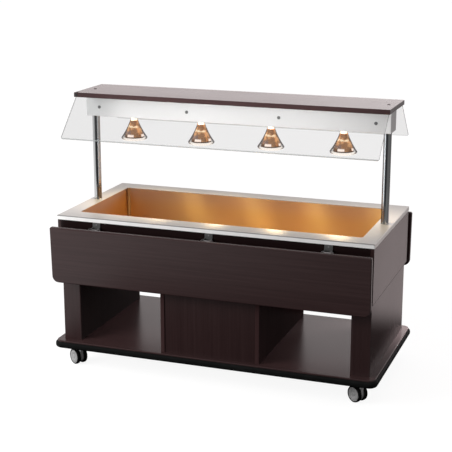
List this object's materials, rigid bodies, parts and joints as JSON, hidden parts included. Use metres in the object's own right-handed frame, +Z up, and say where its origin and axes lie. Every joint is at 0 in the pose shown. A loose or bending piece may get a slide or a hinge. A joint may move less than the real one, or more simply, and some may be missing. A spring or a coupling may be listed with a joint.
{
  "type": "buffet trolley",
  "caption": "Heated buffet trolley: deep steel well under a lamp gantry with leaning glass guards, fold-up side leaves, and an open base with a closed cabinet on swivel castors.",
  "frame": {"origin": "floor level, under the middle of the trolley's plan", "axes": "+X along the length towards the right end as seen from the front, -Y out of the front, +Z up"},
  "size_m": [1.513, 0.8354, 1.2558],
  "materials": {
    "laminate": "dark fine-grained laminate, satin",
    "steel": "brushed stainless sheet",
    "bracket_steel": "plain bright steel",
    "chrome": "polished tube",
    "dark_metal": "black screw caps",
    "heater": "heating mats",
    "glass": "clear toughened glass",
    "bulb": "mirrored reflector bulb with a clear front",
    "holder": "ivory holder",
    "bumper": "black rubber",
    "castor_grey": "grey moulding",
    "wheel": "grey wheel with a black tread",
    "pedal": "dark moulding",
    "control_black": "black moulding",
    "rocker": "black rocker"
  },
  "bodies": {
    "trolley": {"base_panel": "laminate", "leg_left": "laminate", "leg_right": "laminate", "cabinet_side_left": "laminate", "cabinet_side_right": "laminate", "cabinet_front": "laminate", "cabinet_rear": "laminate", "body_floor": "laminate", "body_end_left": "laminate", "body_end_right": "laminate", "body_front": "laminate", "body_rear": "laminate", "top_board": "laminate", "top_rim": "steel", "well_tub": "steel", "lamp_box": "steel", "box_brackets": "bracket_steel", "hinge_brackets": "bracket_steel", "glass_clamps": "bracket_steel", "box_bolts": "bracket_steel", "castor_plates": "bracket_steel", "post_sockets": "bracket_steel", "post_left": "chrome", "post_right": "chrome", "post_bolts": "dark_metal", "heating_pads": "heater", "glass_front": "glass", "glass_rear": "glass", "lamp_1": "bulb", "lamp_2": "bulb", "lamp_3": "bulb", "lamp_4": "bulb", "lampholders": "holder", "base_bumper": "bumper", "thermostat": "control_black", "switch_frames": "control_black", "cable_gland": "control_black"},
    "leaf_front": {"leaf_front": "laminate", "leaf_forks_front": "bracket_steel", "leaf_pins_front": "bracket_steel"},
    "leaf_rear": {"leaf_rear": "laminate", "leaf_forks_rear": "bracket_steel", "leaf_pins_rear": "bracket_steel"},
    "thermostat_knob": {"thermostat_knob": "control_black"},
    "heat_switch": {"heat_switch": "rocker"},
    "lamp_switch": {"lamp_switch": "rocker"},
    "castor_front_left": {"castor_housing_front_left": "castor_grey"},
    "wheel_front_left_outer": {"wheel_front_left_outer": "wheel"},
    "wheel_front_left_inner": {"wheel_front_left_inner": "wheel"},
    "castor_front_right": {"castor_housing_front_right": "castor_grey"},
    "wheel_front_right_outer": {"wheel_front_right_outer": "wheel"},
    "wheel_front_right_inner": {"wheel_front_right_inner": "wheel"},
    "castor_rear_left": {"castor_housing_rear_left": "castor_grey"},
    "wheel_rear_left_outer": {"wheel_rear_left_outer": "wheel"},
    "wheel_rear_left_inner": {"wheel_rear_left_inner": "wheel"},
    "brake_pedal_rear_left": {"brake_pedal_rear_left": "pedal"},
    "castor_rear_right": {"castor_housing_rear_right": "castor_grey"},
    "wheel_rear_right_outer": {"wheel_rear_right_outer": "wheel"},
    "wheel_rear_right_inner": {"wheel_rear_right_inner": "wheel"},
    "brake_pedal_rear_right": {"brake_pedal_rear_right": "pedal"}
  },
  "joints": [
    {"name": "leaf_front_fold", "type": "hinge", "parent": "trolley", "child": "leaf_front", "pos_m": [0, -0.36675, 0.67925], "axis": [-1, 0, 0], "range_deg": [0, 92.2]},
    {"name": "leaf_rear_fold", "type": "hinge", "parent": "trolley", "child": "leaf_rear", "pos_m": [0, 0.36675, 0.67925], "axis": [1, 0, 0], "range_deg": [0, 92.2]},
    {"name": "thermostat_turn", "type": "hinge", "parent": "trolley", "child": "thermostat_knob", "pos_m": [0.07, 0.3435, 0.361], "axis": [0, 1, 0], "range_deg": [0, 270]},
    {"name": "heat_switch_rock", "type": "hinge", "parent": "trolley", "child": "heat_switch", "pos_m": [-0.063, 0.3435, 0.361], "axis": [1, 0, 0], "range_deg": [0, 16]},
    {"name": "lamp_switch_rock", "type": "hinge", "parent": "trolley", "child": "lamp_switch", "pos_m": [-0.017, 0.3435, 0.361], "axis": [1, 0, 0], "range_deg": [0, 16]},
    {"name": "castor_front_left_swivel", "type": "hinge", "parent": "trolley", "child": "castor_front_left", "pos_m": [-0.6685, -0.2775, 0.096], "axis": [0, 0, 1], "continuous": true},
    {"name": "wheel_front_left_outer_roll", "type": "hinge", "parent": "castor_front_left", "child": "wheel_front_left_outer", "pos_m": [-0.68284, -0.26837, 0.0375], "axis": [-0.5373, -0.8434, 0], "continuous": true},
    {"name": "wheel_front_left_inner_roll", "type": "hinge", "parent": "castor_front_left", "child": "wheel_front_left_inner", "pos_m": [-0.68284, -0.26837, 0.0375], "axis": [-0.5373, -0.8434, 0], "continuous": true},
    {"name": "castor_front_right_swivel", "type": "hinge", "parent": "trolley", "child": "castor_front_right", "pos_m": [0.6685, -0.2775, 0.096], "axis": [0, 0, 1], "continuous": true},
    {"name": "wheel_front_right_outer_roll", "type": "hinge", "parent": "castor_front_right", "child": "wheel_front_right_outer", "pos_m": [0.65416, -0.26837, 0.0375], "axis": [-0.5373, -0.8434, 0], "continuous": true},
    {"name": "wheel_front_right_inner_roll", "type": "hinge", "parent": "castor_front_right", "child": "wheel_front_right_inner", "pos_m": [0.65416, -0.26837, 0.0375], "axis": [-0.5373, -0.8434, 0], "continuous": true},
    {"name": "castor_rear_left_swivel", "type": "hinge", "parent": "trolley", "child": "castor_rear_left", "pos_m": [-0.6685, 0.2775, 0.096], "axis": [0, 0, 1], "continuous": true},
    {"name": "wheel_rear_left_outer_roll", "type": "hinge", "parent": "castor_rear_left", "child": "wheel_rear_left_outer", "pos_m": [-0.68284, 0.28663, 0.0375], "axis": [-0.5373, -0.8434, 0], "continuous": true},
    {"name": "wheel_rear_left_inner_roll", "type": "hinge", "parent": "castor_rear_left", "child": "wheel_rear_left_inner", "pos_m": [-0.68284, 0.28663, 0.0375], "axis": [-0.5373, -0.8434, 0], "continuous": true},
    {"name": "brake_pedal_rear_left_press", "type": "hinge", "parent": "castor_rear_left", "child": "brake_pedal_rear_left", "pos_m": [-0.70745, 0.30231, 0.07485], "axis": [-0.5373, -0.8434, 0], "range_deg": [0, 15]},
    {"name": "castor_rear_right_swivel", "type": "hinge", "parent": "trolley", "child": "castor_rear_right", "pos_m": [0.6685, 0.2775, 0.096], "axis": [0, 0, 1], "continuous": true},
    {"name": "wheel_rear_right_outer_roll", "type": "hinge", "parent": "castor_rear_right", "child": "wheel_rear_right_outer", "pos_m": [0.65416, 0.28663, 0.0375], "axis": [-0.5373, -0.8434, 0], "continuous": true},
    {"name": "wheel_rear_right_inner_roll", "type": "hinge", "parent": "castor_rear_right", "child": "wheel_rear_right_inner", "pos_m": [0.65416, 0.28663, 0.0375], "axis": [-0.5373, -0.8434, 0], "continuous": true},
    {"name": "brake_pedal_rear_right_press", "type": "hinge", "parent": "castor_rear_right", "child": "brake_pedal_rear_right", "pos_m": [0.62955, 0.30231, 0.07485], "axis": [-0.5373, -0.8434, 0], "range_deg": [0, 15]}
  ]
}
